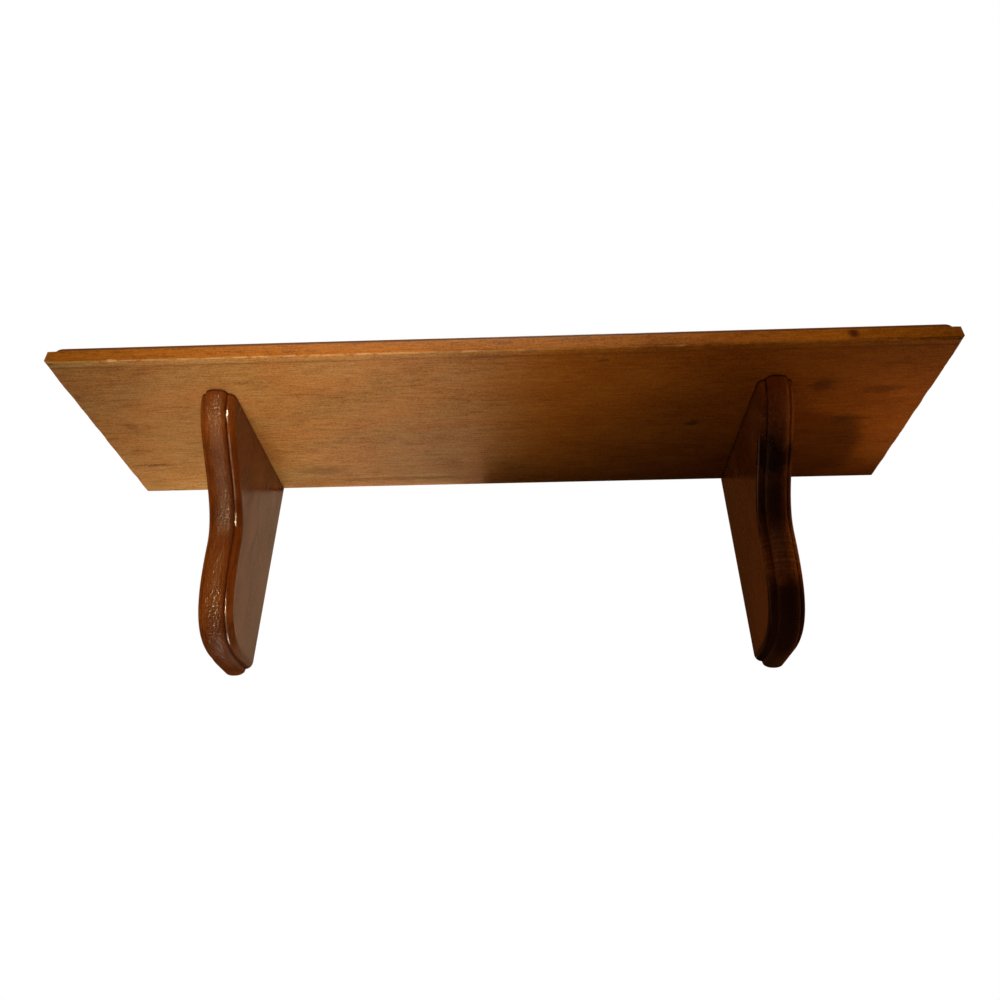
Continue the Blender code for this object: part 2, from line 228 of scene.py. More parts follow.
# What diffuse and glossy rays see around the shelf in place of the white ground
ROOM_DIFFUSE = (0.012, 0.009, 0.006)
ROOM_GLOSSY = (0.126, 0.036, 0.008)
WHITE = (1, 1, 1)

# The floor, pale to the camera and dark to other rays
FLOOR_Z = -1.1
FLOOR_HALF = 4.0
PAPER = (0.86, 0.86, 0.85)
PAPER_UNSEEN = (0.1, 0.1, 0.1)
PAPER_GLOW = 0.70
PAPER_ROUGHNESS = 0.9


def arc(centre, radius, start, end, steps):
    """Points on an arc, from one angle in degrees to another."""
    points = []
    for i in range(steps + 1):
        angle = math.radians(start + (end - start) * i / steps)
        points.append(Vector((centre[0] + radius * math.cos(angle),
                              centre[1] + radius * math.sin(angle))))
    return points


def stadium(half_width, half_length):
    """A closed upright outline with round ends, centred on the origin."""
    reach = half_length - half_width
    half = ROUND_STEPS // 2
    upper = arc((0, reach), half_width, 0, 180, half)
    return upper + arc((0, -reach), half_width, 180, 360, half)


def keyhole():
    """A closed outline with the entry about the origin and the slot above it."""
    meet = math.degrees(math.acos(KEYHOLE_SLOT_HALF / KEYHOLE_ENTRY_RADIUS))
    entry = arc((0, 0), KEYHOLE_ENTRY_RADIUS, 180 - meet, 360 + meet, ROUND_STEPS)
    return entry + arc((0, KEYHOLE_RISE), KEYHOLE_SLOT_HALF, 0, 180, ROUND_STEPS // 2)


def prism(outline, low, high):
    """Extrudes a closed (x, z) outline along Y."""
    bm = bmesh.new()
    near = [bm.verts.new((x, low, z)) for x, z in outline]
    far = [bm.verts.new((x, high, z)) for x, z in outline]
    bm.faces.new(near)
    bm.faces.new(far)
    for i in range(len(outline)):
        j = (i + 1) % len(outline)
        bm.faces.new((near[i], near[j], far[j], far[i]))
    return bm


def turned(profile):
    """Turns (radius, height) points about Z, from a first to a last point on the axis."""
    bm = bmesh.new()
    rings = []
    for radius, height in profile[1:-1]:
        ring = arc((0, 0), radius, 0, 360, ROUND_STEPS)[:-1]
        rings.append([bm.verts.new((x, y, height)) for x, y in ring])
    first = bm.verts.new((0, 0, profile[0][1]))
    last = bm.verts.new((0, 0, profile[-1][1]))
    for i in range(ROUND_STEPS):
        j = (i + 1) % ROUND_STEPS
        bm.faces.new((first, rings[0][i], rings[0][j]))
        bm.faces.new((last, rings[-1][j], rings[-1][i]))
        for low, high in zip(rings, rings[1:]):
            bm.faces.new((low[i], high[i], high[j], low[j]))
    return bm


def make_object(name, bm, matrix):
    """Turns a bmesh into an object whose mesh is in place and whose faces point out."""
    bmesh.ops.recalc_face_normals(bm, faces=bm.faces[:])
    mesh = bpy.data.meshes.new(name)
    bm.to_mesh(mesh)
    bm.free()
    obj = bpy.data.objects.new(name, mesh)
    bpy.context.scene.collection.objects.link(obj)
    obj.matrix_world = matrix
    return obj


def carve(obj, cutters):
    """Subtracts (bmesh, matrix) shapes from an object and keeps the result as its mesh."""
    for i, (bm, matrix) in enumerate(cutters):
        cutter = make_object(f"{obj.name}_cutter_{i}", bm, matrix)
        boolean = obj.modifiers.new(cutter.name, "BOOLEAN")
        boolean.operation = "DIFFERENCE"
        boolean.solver = "EXACT"
        boolean.object = cutter
    graph = bpy.context.evaluated_depsgraph_get()
    mesh = bpy.data.meshes.new_from_object(obj.evaluated_get(graph))
    used = [modifier.object for modifier in obj.modifiers]
    obj.modifiers.clear()
    obj.data = mesh
    for cutter in used:
        bpy.data.objects.remove(cutter, do_unlink=True)


def finish_piece(obj, node, material):
    """Shades a piece, gives it its material and lets it stand for its CAD node."""
    obj.data.materials.clear()
    obj.data.materials.append(material)
    obj.data.shade_smooth()
    obj.data.set_sharp_from_angle(angle=SMOOTH_ANGLE)
    normals = obj.modifiers.new("normals", "WEIGHTED_NORMAL")
    normals.keep_sharp = True
    normals.weight = 100
    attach(obj, "root")
    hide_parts(node)


def edge_profile():
    """The board's edge from the underside up: (inset and height, way inward, share of wear)."""
    ledge = BOARD_THICKNESS - TOP_STEP - OVOLO_RADIUS
    shoulder = LEDGE_WIDTH + OVOLO_RADIUS
    top = BOARD_THICKNESS
    corners = (
        (Vector((LOWER_ARRIS, LOWER_ARRIS)), LOWER_ARRIS, 270, 180, ARRIS_STEPS, 1.0),
        (Vector((ARRIS, ledge - ARRIS)), ARRIS, 180, 90, ARRIS_STEPS, 0.5),
        (Vector((shoulder, ledge)), OVOLO_RADIUS, 180, 90, OVOLO_STEPS, 0.0),
        (Vector((shoulder + ARRIS, top - ARRIS)), ARRIS, 180, 90, ARRIS_STEPS, 0.5),
    )
    profile = []
    for centre, radius, start, end, steps, share in corners:
        for i, point in enumerate(arc(centre, radius, start, end, steps)):
            inward = (centre - point) / radius
            profile.append((point, inward, share * math.sin(math.pi * i / steps)))
    return profile


def wear_at(along, height):
    """How deep the arris is worn at a distance along the rim, in metres."""
    drift = noise.noise(Vector((along / WEAR_GRAIN, height * 90, 3.7)))
    fine = noise.noise(Vector((along / WEAR_GRAIN * 4, height * 90, 8.1)))
    depth = WEAR_DEPTH * max(0.0, 0.35 + 0.8 * drift + 0.35 * fine)
    for corner in (FRONT_START, FRONT_START + 2 * BOARD_HALF):
        depth += CORNER_WEAR * math.exp(-((along - corner) / CORNER_REACH) ** 2)
    return depth


def nick_at(along):
    """How deep the lower arris is chipped at a distance along the rim, in metres."""
    depth = 0.0
    for place, length, deep in NICKS:
        offset = (along - place) / length
        ragged = max(0.0, 0.6 + 1.1 * noise.noise(Vector((along / NICK_GRAIN, place * 50, 1.3))))
        depth += deep * ragged * max(0.0, 1 - offset * offset)
    return depth


def rim_stations():
    """Stations round the rim from the left rear corner: (x share, y share, distance along)."""
    stations = []
    for i in range(END_STEPS):
        stations.append((-1, i / END_STEPS, BOARD_DEPTH * i / END_STEPS))
    for i in range(FRONT_STEPS):
        share = i / FRONT_STEPS
        stations.append((2 * share - 1, 1, FRONT_START + 2 * BOARD_HALF * share))
    for i in range(END_STEPS + 1):
        share = i / END_STEPS
        stations.append((1, 1 - share, FRONT_START + 2 * BOARD_HALF + BOARD_DEPTH * share))
    return stations


def board_mesh():
    """Runs the worn edge profile round the rim, between the flat faces."""
    bm = bmesh.new()
    wear_layer = bm.verts.layers.float.new("wear")
    rings = []
    for number, (point, inward, share) in enumerate(edge_profile()):
        ring = []
        for x_share, y_share, along in rim_stations():
            depth = share * wear_at(along, point.y)
            chip = share * nick_at(along) if number <= ARRIS_STEPS else 0.0
            inset, height = point + inward * (depth + chip)
            x = x_share * (BOARD_HALF - inset)
            y = -y_share * (BOARD_DEPTH - inset)
            vert = bm.verts.new((x, y, BOARD_LOW.z + height))
            rubbed = share ** 3 * (0.35 + 0.55 * wear_at(along, point.y) / WEAR_DEPTH)
            vert[wear_layer] = rubbed + chip / WEAR_DEPTH
            ring.append(vert)
        rings.append(ring)
    bm.faces.new(rings[0])
    bm.faces.new(rings[-1])
    for low, high in zip(rings, rings[1:]):
        for i in range(len(low) - 1):
            bm.faces.new((low[i], low[i + 1], high[i + 1], high[i]))
    bm.faces.new([ring[0] for ring in rings] + [ring[-1] for ring in reversed(rings)])
    return bm


def bezier(a, b, c, d, steps):
    """Points and unit tangents along a cubic curve."""
    curve = []
    for i in range(steps + 1):
        t = i / steps
        s = 1 - t
        place = a * s**3 + b * (3 * s * s * t) + c * (3 * s * t * t) + d * t**3
        tangent = (b - a) * (s * s) + (c - b) * (2 * s * t) + (d - c) * (t * t)
        curve.append((place, tangent.normalized()))
    return curve


def scroll_outline(inset):
    """The front edge from nose to foot, set in by a distance: (from the wall, up from the top)."""
    nose = Vector((BRACKET_DEPTH, 0))
    waist = Vector((WAIST_DEPTH, -WAIST_DROP))
    foot = Vector((FOOT_LENGTH, -BRACKET_HEIGHT))
    shank = Vector((-math.sin(WAIST_LEAN), -math.cos(WAIST_LEAN)))
    shank_drop = BRACKET_HEIGHT - WAIST_DROP
    below_nose = nose - Vector((0, NOSE_FULLNESS * WAIST_DROP))
    above_waist = waist - shank * (HOLLOW_FULLNESS * WAIST_DROP)
    below_waist = waist + shank * (SHANK_FULLNESS * shank_drop)
    before_foot = foot + Vector((BELLY_FULLNESS * (WAIST_DEPTH - FOOT_LENGTH), 0))
    curve = bezier(nose, below_nose, above_waist, waist, NOSE_STEPS)
    curve += bezier(waist, below_waist, before_foot, foot, BELLY_STEPS)[1:]
    outline = []
    for place, tangent in curve:
        inward = Vector((tangent.y, -tangent.x))
        outline.append(place + inward * inset)
    outline.append(Vector((0, outline[-1].y)))
    return outline


def half_moulding():
    """One half of the front edge from its side face to its middle: (across, inset, share of
    painted shade at the quirk).
    """
    crown_half = BRACKET_HALF - BEAD_WIDTH - STEP_WIDTH
    shoulder = CROWN_RISE + STEP_DEPTH
    points = []
    for i in range(BEAD_STEPS + 1):
        angle = math.pi / 2 * i / BEAD_STEPS
        across = BRACKET_HALF - BEAD_WIDTH * (1 - math.cos(angle))
        inset = shoulder + BEAD_DEPTH * (1 - math.sin(angle))
        points.append((across, inset, max(0.0, i / BEAD_STEPS * 3 - 2)))
    for i in range(CROWN_STEPS + 1):
        angle = math.pi / 2 * (1 - i / CROWN_STEPS)
        across = crown_half * math.sin(angle) ** (2 / CROWN_SQUARENESS)
        drop = CROWN_RISE * (1 - abs(math.cos(angle)) ** (2 / CROWN_SQUARENESS))
        points.append((across, drop, max(0.0, 1 - i / CROWN_STEPS * 4)))
    return points


def run_lengths(outline):
    """Distances along an outline from its first point, in millimetres."""
    lengths = [0.0]
    for point, following in zip(outline, outline[1:]):
        lengths.append(lengths[-1] + (following - point).length * 1000)
    return lengths


def bracket_mesh():
    """Runs the moulding along the scroll; the top and the rear edge are flat."""
    bm = bmesh.new()
    quirk_shade_layer = bm.verts.layers.float.new("quirk_shade")
    along_layer = bm.verts.layers.float.new("along")
    front_layer = bm.verts.layers.float.new("front")
    bead_layer = bm.verts.layers.float.new("bead")
    half = half_moulding()
    section = [(-across, inset, quirk_shade) for across, inset, quirk_shade in half]
    section += reversed(half[:-1])
    lengths = run_lengths(scroll_outline(0))
    rows = []
    for across, inset, quirk_shade in section:
        bead = 1.0 if abs(across) > BRACKET_HALF - BEAD_WIDTH - STEP_WIDTH / 2 else 0.0
        row = []
        for point, along in zip(scroll_outline(inset), lengths):
            vert = bm.verts.new((across, -point.x, point.y))
            vert[quirk_shade_layer] = quirk_shade
            vert[along_layer] = along
            vert[front_layer] = 1.0
            vert[bead_layer] = bead
            row.append(vert)
        rows.append(row)
    for vert in rows[0] + rows[-1]:
        vert[front_layer] = 0.0
    left = bm.verts.new((-BRACKET_HALF, 0, 0))
    right = bm.verts.new((BRACKET_HALF, 0, 0))
    for row, following in zip(rows, rows[1:]):
        for j in range(len(row) - 1):
            bm.faces.new((row[j], row[j + 1], following[j + 1], following[j]))
    bm.faces.new(rows[0] + [left])
    bm.faces.new(rows[-1] + [right])
    bm.faces.new([row[-1] for row in rows] + [right, left])
    bm.faces.new([row[0] for row in rows] + [right, left])
    return bm


def shelf_way():
    """The way for a screw down through the board, with the bore for its plug above it."""
    head = SCREW_HEAD_RADIUS + FIT_GAP
    shank = SCREW_SHANK_RADIUS + FIT_GAP
    bore = (PLUG_HIGH.x - PLUG_LOW.x) / 2 + FIT_GAP
    length = SCREW_HIGH.z - SCREW_LOW.z
    mouth = BOARD_HIGH.z - SCREW_HIGH.z + CUT_MARGIN
    return turned([
        (0, -length),
        (shank, -length),
        (shank, -SCREW_RIM - (head - shank)),
        (head, -SCREW_RIM),
        (head, -FIT_GAP),
        (bore, -FIT_GAP),
        (bore, mouth),
        (0, mouth),
    ])


def plate_way():
    """The way for a small screw through a keyhole plate, pointing up."""
    head = (PLATE_SCREW_HIGH.x - PLATE_SCREW_LOW.x) / 2 + FIT_GAP
    shank = PLATE_SCREW_SHANK_RADIUS + FIT_GAP
    length = PLATE_SCREW_HIGH.y - PLATE_SCREW_LOW.y
    return turned([
        (0, -length),
        (shank, -length),
        (shank, -PLATE_SCREW_RIM - (head - shank)),
        (head, -PLATE_SCREW_RIM),
        (head, CUT_MARGIN),
        (0, CUT_MARGIN),
    ])


def pilot(radius, length):
    """A plain round hole that goes down from 0."""
    return turned([(0, -length), (radius, -length), (radius, CUT_MARGIN), (0, CUT_MARGIN)])


def centre_of(node):
    """The middle of a CAD node's box."""
    low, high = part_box(node)
    return (low + high) / 2


def build_board(material):
    """The board with its worn edge, bored from above for its screws and plugs."""
    board = make_object("board", board_mesh(), Matrix())
    cutters = []
    for side in SIDES:
        for place in ("front", "rear"):
            at = centre_of(f"shelf_screw_{place}_{side}")
            at.z = SCREW_HIGH.z
            cutters.append((shelf_way(), Matrix.Translation(at)))
    carve(board, cutters)
    finish_piece(board, "shelf_board", material)


def build_bracket(side, material):
    """One bracket, drilled for its screws and recessed for its keyhole plate."""
    place = Vector((centre_of(f"bracket_{side}").x, 0, BRACKET_HIGH.z))
    bracket = make_object(f"scroll_bracket_{side}", bracket_mesh(), Matrix.Translation(place))
    cutters = []
    for screw in ("front", "rear"):
        at = centre_of(f"shelf_screw_{screw}_{side}")
        at.z = BRACKET_HIGH.z
        length = BRACKET_HIGH.z - SCREW_LOW.z + FIT_GAP
        hole = pilot(SCREW_SHANK_RADIUS + FIT_GAP, length)
        cutters.append((hole, Matrix.Translation(at)))
    plate = centre_of(f"keyhole_plate_{side}")
    plate_depth = PLATE_HIGH.y - PLATE_LOW.y
    half_width = (PLATE_HIGH.x - PLATE_LOW.x) / 2 + FIT_GAP
    half_length = (PLATE_HIGH.z - PLATE_LOW.z) / 2 + FIT_GAP
    at_plate = Matrix.Translation((plate.x, 0, plate.z))
    recess = prism(stadium(half_width, half_length), -plate_depth - FIT_GAP, CUT_MARGIN)
    cutters.append((recess, at_plate))
    pocket_outline = stadium(KEYHOLE_ENTRY_RADIUS, KEYHOLE_ENTRY_RADIUS + KEYHOLE_RISE / 2)
    pocket = prism(pocket_outline, -plate_depth - HEAD_POCKET_DEPTH, CUT_MARGIN)
    entry = entry_height(plate.z)
    cutters.append((pocket, Matrix.Translation((plate.x, 0, entry + KEYHOLE_RISE / 2))))
    for place in ("upper", "lower"):
        at = centre_of(f"plate_screw_{place}_{side}")
        at.y = 0
        length = PLATE_SCREW_HIGH.y - PLATE_SCREW_LOW.y + FIT_GAP
        hole = pilot(PLATE_SCREW_SHANK_RADIUS + FIT_GAP, length)
        turn = Matrix.Rotation(math.radians(-90), 4, "X")
        cutters.append((hole, Matrix.Translation(at) @ turn))
    carve(bracket, cutters)
    finish_piece(bracket, f"bracket_{side}", material)


def entry_height(plate_z):
    """Where a keyhole's round entry lies on a plate centred at a height."""
    length = KEYHOLE_ENTRY_RADIUS + KEYHOLE_RISE + KEYHOLE_SLOT_HALF
    return plate_z - length / 2 + KEYHOLE_ENTRY_RADIUS


def build_plug(node, material):
    """A plug with a slightly domed face."""
    low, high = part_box(node)
    radius = (high.x - low.x) / 2
    length = high.z - low.z
    chamfer = radius * PLUG_CHAMFER
    dome = [(radius - chamfer, length - chamfer * 0.5)]
    dome += [(radius * share, length - chamfer * 0.3 * share) for share in (0.8, 0.5, 0.2)]
    profile = [(0, 0), (radius - 2 * chamfer, 0), (radius, 2 * chamfer)]
    profile += [(radius, length - 2 * chamfer)] + dome + [(0, length)]
    at = centre_of(node)
    at.z = low.z
    plug = make_object(node.replace("plug", "wood_plug"), turned(profile), Matrix.Translation(at))
    finish_piece(plug, node, material)


def build_plate(side, material):
    """A keyhole plate with eased edges and two countersunk holes."""
    low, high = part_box(f"keyhole_plate_{side}")
    centre = (low + high) / 2
    outline = stadium((high.x - low.x) / 2, (high.z - low.z) / 2)
    body = prism(outline, low.y, high.y)
    at = Matrix.Translation((centre.x, 0, centre.z))
    plate = make_object(f"hanger_plate_{side}", body, at)
    hole = prism(keyhole(), low.y - CUT_MARGIN, CUT_MARGIN)
    entry = Vector((centre.x, 0, entry_height(centre.z)))
    cutters = [(hole, Matrix.Translation(entry))]
    turn = Matrix.Rotation(math.radians(-90), 4, "X")
    for place in ("upper", "lower"):
        screw = centre_of(f"plate_screw_{place}_{side}")
        screw.y = 0
        cutters.append((plate_way(), Matrix.Translation(screw) @ turn))
    carve(plate, cutters)
    bevel = plate.modifiers.new("eased_edges", "BEVEL")
    bevel.width = PLATE_BEVEL
    bevel.segments = 2
    bevel.limit_method = "ANGLE"
    bevel.angle_limit = SMOOTH_ANGLE
    finish_piece(plate, f"keyhole_plate_{side}", material)


class Graph:
    """A node tree, built with short calls."""

    def __init__(self, tree):
        self.tree = tree

    def node(self, kind, inputs=None, **settings):
        """Adds a node; an input is a number, a colour or another node's output."""
        made = self.tree.nodes.new("ShaderNode" + kind)
        for key, value in settings.items():
            setattr(made, key, value)
        for key, value in (inputs or {}).items():
            self.feed(made.inputs[key], value)
        return made

    def feed(self, socket, value):
        """Links an output to a socket, or sets the socket's own value."""
        if isinstance(value, bpy.types.NodeSocket):
            self.tree.links.new(value, socket)
        else:
            socket.default_value = value

    def math(self, operation, a, b=0.0, clamp=False):
        """One sum on numbers."""
        made = self.node("Math", {0: a, 1: b}, operation=operation, use_clamp=clamp)
        return made.outputs[0]

    def scaled(self, vector, scale):
        """A vector times another, axis by axis."""
        return self.node("VectorMath", {0: vector, 1: scale}, operation="MULTIPLY").outputs[0]

    def moved(self, vector, offset):
        """A vector plus another."""
        return self.node("VectorMath", {0: vector, 1: offset}, operation="ADD").outputs[0]

    def noise(self, vector, detail=2.0, roughness=0.5, distortion=0.0):
        """Noise with features about 1 unit apart, from 0 to 1."""
        inputs = {"Vector": vector, "Scale": 1.0, "Detail": detail, "Roughness": roughness,
                  "Distortion": distortion}
        return self.node("TexNoise", inputs).outputs[0]

    def fade(self, value, start, end, low=0.0, high=1.0):
        """Goes smoothly from low to high as a value goes from start to end."""
        inputs = {0: value, 1: start, 2: end, 3: low, 4: high}
        return self.node("MapRange", inputs, interpolation_type="SMOOTHSTEP").outputs[0]

    def mix(self, factor, a, b, blend="MIX"):
        """Two colours mixed."""
        made = self.node("Mix", data_type="RGBA", blend_type=blend)
        self.feed(made.inputs[0], factor)
        self.feed(made.inputs[6], a)
        self.feed(made.inputs[7], b)
        return made.outputs[2]

    def ramp(self, value, stops):
        """A colour from a list of (place, colour) stops."""
        made = self.node("ValToRGB", {0: value})
        ramp = made.color_ramp
        while len(ramp.elements) < len(stops):
            ramp.elements.new(0.5)
        for element, (place, shade) in zip(ramp.elements, stops):
            element.position = place
            element.color = shade
        return made.outputs[0]

    def attribute(self, name):
        """A number kept on the mesh."""
        return self.node("Attribute", attribute_name=name).outputs["Fac"]


def new_material(name):
    """A material, its graph and its shader."""
    material = bpy.data.materials.new(name)
    material.use_nodes = True
    graph = Graph(material.node_tree)
    return material, graph, material.node_tree.nodes["Principled BSDF"]


def colour(red, green, blue):
    """An opaque colour."""
    return (red, green, blue, 1.0)


def grain_space(graph, along, seed):
    """Coordinates in millimetres with the grain along the first axis, and the plain ones."""
    coords = graph.node("TexCoord").outputs["Object"]
    plain = graph.scaled(coords, (1000, 1000, 1000))
    split = graph.node("SeparateXYZ", {0: plain}).outputs
    order = {"X": (0, 1, 2), "Z": (2, 0, 1)}[along]
    turned_axes = {i: split[axis] for i, axis in enumerate(order)}
    grain = graph.node("CombineXYZ", turned_axes).outputs[0]
    return graph.moved(grain, (seed * 137.0, seed * 11.0, seed * 7.0)), plain


def wood_tone(graph, grain, fine, streaky, broad):
    """Light and dark of the wood about 0.5, with the fibres and the dark growth lines."""
    wander = graph.node("TexNoise", {"Vector": graph.scaled(grain, (1 / 130, 1 / 30, 1 / 30)),
                                     "Scale": 1.0, "Detail": 2.0}).outputs[1]
    sway = graph.scaled(graph.moved(wander, (-0.5, -0.5, -0.5)), (0, 7, 7))
    swayed = graph.moved(grain, sway)
    cloud = graph.noise(graph.scaled(grain, (1 / 60, 1 / 28, 1 / 28)), 3.0, 0.55)
    width = 2.8 * broad
    streak = graph.noise(graph.scaled(swayed, (1 / 34, 1 / width, 1 / width)), 3.0, 0.5)
    fibre = graph.noise(graph.scaled(swayed, (1 / 9, 1 / 0.7, 1 / 0.7)), 2.0, 0.6)
    rings = graph.noise(graph.scaled(swayed, (1 / 95, 1 / 1.9, 1 / 1.9)), 1.0, 0.5)
    broken = graph.noise(graph.scaled(grain, (1 / 13, 1 / 4, 1 / 4)), 2.0)
    lines = graph.math("MULTIPLY", graph.fade(rings, 0.60, 0.68), graph.fade(broken, 0.42, 0.62))
    grit = graph.noise(graph.scaled(grain, (1 / 1.3, 1 / 0.9, 1 / 0.9)), 1.0, 0.6)
    layers = ((cloud, 0.65), (streak, 0.40 * streaky), (fibre, 1.05 * fine), (grit, 0.85 * fine))
    tone = 0.5
    for layer, strength in layers:
        shift = graph.math("MULTIPLY", graph.math("SUBTRACT", layer, 0.5), strength)
        tone = graph.math("ADD", shift, tone)
    tone = graph.math("SUBTRACT", tone, graph.math("MULTIPLY", lines, 0.12), clamp=True)
    return tone, fibre, lines


def spot(graph, place, mark):
    """A soft-edged oval mark in a plane: 1 in its middle, 0 outside."""
    x, y, half_length, half_width = mark
    offset = graph.scaled(graph.moved(place, (-x, -y, 0)), (1 / half_length, 1 / half_width, 0))
    reach = graph.node("VectorMath", {0: offset}, operation="LENGTH").outputs["Value"]
    return graph.fade(reach, 1.0, 0.25)


def board_material():
    """Stained wood with the grain along the shelf: duller below, amber varnish elsewhere."""
    material, graph, shader = new_material("board_wood")
    grain, plain = grain_space(graph, "X", 1.0)
    tone, fibre, lines = wood_tone(graph, grain, 1.1, 1.0, 1.0)
    base = graph.ramp(tone, (
        (0.10, colour(0.165, 0.062, 0.014)),
        (0.50, colour(0.315, 0.134, 0.036)),
        (0.90, colour(0.415, 0.200, 0.066)),
    ))
    normal = graph.node("NewGeometry").outputs["True Normal"]
    facing = graph.node("SeparateXYZ", {0: normal}).outputs[2]
    below = graph.fade(facing, -0.55, -0.95)
    amber = graph.mix(1.0, base, colour(1.0, 0.77, 0.14), "MULTIPLY")
    x, y, z = graph.node("SeparateXYZ", {0: plain}).outputs
    # Painted shade: the right half of the underside is made darker and more orange.
    right_half_shade = graph.mix(1.0, base, colour(0.94, 0.67, 0.23), "MULTIPLY")
    olive = graph.noise(graph.scaled(grain, (1 / 55, 1 / 20, 1 / 20)), 2.0)
    greener = graph.mix(1.0, base, colour(0.94, 1.05, 1.12), "MULTIPLY")
    dull = graph.mix(graph.fade(olive, 0.42, 0.60), base, greener)
    dull = graph.mix(graph.fade(x, -40.0, 40.0), dull, right_half_shade)
    # Painted reflection: the left rear of the underside is made paler and greyer.
    leftward = graph.fade(x, -90.0, -200.0, 0.0, 0.8)
    rear = graph.math("MULTIPLY", graph.fade(y, -70.0, -10.0), leftward)
    dull = graph.mix(rear, dull, graph.mix(1.0, dull, colour(1.10, 1.25, 1.45), "MULTIPLY"))
    # Painted highlight: a pale band on the underside along the front edge, where the rounded arris
    # catches light.
    rim_highlight = graph.mix(1.0, dull, colour(1.15, 1.32, 1.50), "MULTIPLY")
    dull = graph.mix(graph.fade(y, -135.0, -137.0, 0.0, 0.8), dull, rim_highlight)
    # A thin dark line on the underside just behind the front edge, broken up by noise.
    front_dark_line = graph.math("MULTIPLY", graph.fade(y, -133.6, -134.6), graph.fade(y, -136.0, -135.0))
    front_dark_line = graph.math("MULTIPLY", front_dark_line, graph.fade(olive, 0.30, 0.50, 0.10, 0.45))
    dull = graph.mix(front_dark_line, dull, colour(0.120, 0.042, 0.010))
    # Painted shade: the band of the ovolo moulding round the edges is darkened.
    ovolo_shade = graph.math("MULTIPLY", graph.fade(z, -0.7, -0.1, 0.0, 0.7), graph.fade(z, 6.5, 3.0))
    amber = graph.mix(ovolo_shade, amber, colour(0.050, 0.020, 0.008))
    base = graph.mix(below, amber, dull)
    ragged = graph.node("TexNoise", {"Vector": graph.scaled(plain, (1 / 5, 1 / 2, 1 / 2)),
                                     "Scale": 1.0, "Detail": 4.0}).outputs[1]
    shake = graph.scaled(graph.moved(ragged, (-0.5, -0.5, -0.5)), (14, 9, 0))
    shaken = graph.moved(plain, shake)
    dark_marks = 0.0
    for mark, strength in MARKS:
        dark_marks = graph.math("ADD", graph.math("MULTIPLY", spot(graph, shaken, mark), strength), dark_marks)
    dark_marks = graph.math("MULTIPLY", dark_marks, below, clamp=True)
    base = graph.mix(dark_marks, base, colour(0.075, 0.022, 0.006))
    on_edge = graph.node("CombineXYZ", {0: x, 1: z}).outputs[0]
    upright = graph.moved(on_edge, graph.scaled(shake, (0.2, 0.2, 0)))
    fore = graph.fade(y, -120.0, -130.0)
    knot = graph.math("MULTIPLY", spot(graph, upright, KNOT[0]), KNOT[1])
    knot = graph.math("MULTIPLY", knot, fore)
    knot = graph.math("MULTIPLY", knot, graph.fade(facing, -0.9, -0.5))
    base = graph.mix(knot, base, colour(0.055, 0.010, 0.004))
    rubbed = graph.noise(graph.scaled(plain, (1 / 4, 1 / 2, 1 / 2)), 3.0)
    more = graph.fade(x, 40.0, -120.0, 0.45, 1.0)
    wear = graph.math("MULTIPLY", graph.attribute("wear"), graph.fade(rubbed, 0.30, 0.55))
    wear = graph.math("MULTIPLY", wear, more, clamp=True)
    base = graph.mix(wear, base, colour(0.62, 0.39, 0.18))
    graph.feed(shader.inputs["Base Color"], base)
    rough = graph.math("MULTIPLY_ADD", below, 0.06)
    graph.feed(rough.node.inputs[2], graph.fade(fibre, 0.3, 0.7, *WOOD_ROUGHNESS))
    graph.feed(shader.inputs["Roughness"], rough)
    shader.inputs["Specular IOR Level"].default_value = WOOD_GLOSS
    relief = graph.math("SUBTRACT", fibre, graph.math("MULTIPLY", lines, 0.6))
    bump = graph.node("Bump", {"Height": relief, "Strength": 0.3, "Distance": 0.0001})
    graph.feed(shader.inputs["Normal"], bump.outputs[0])
    return material


def stretch(graph, along, start, end, soft):
    """1 between two places along the scroll, with soft ends."""
    rise = graph.fade(along, start - soft, start + soft)
    return graph.math("MULTIPLY", rise, graph.fade(along, end - soft, end + soft, 1.0, 0.0))


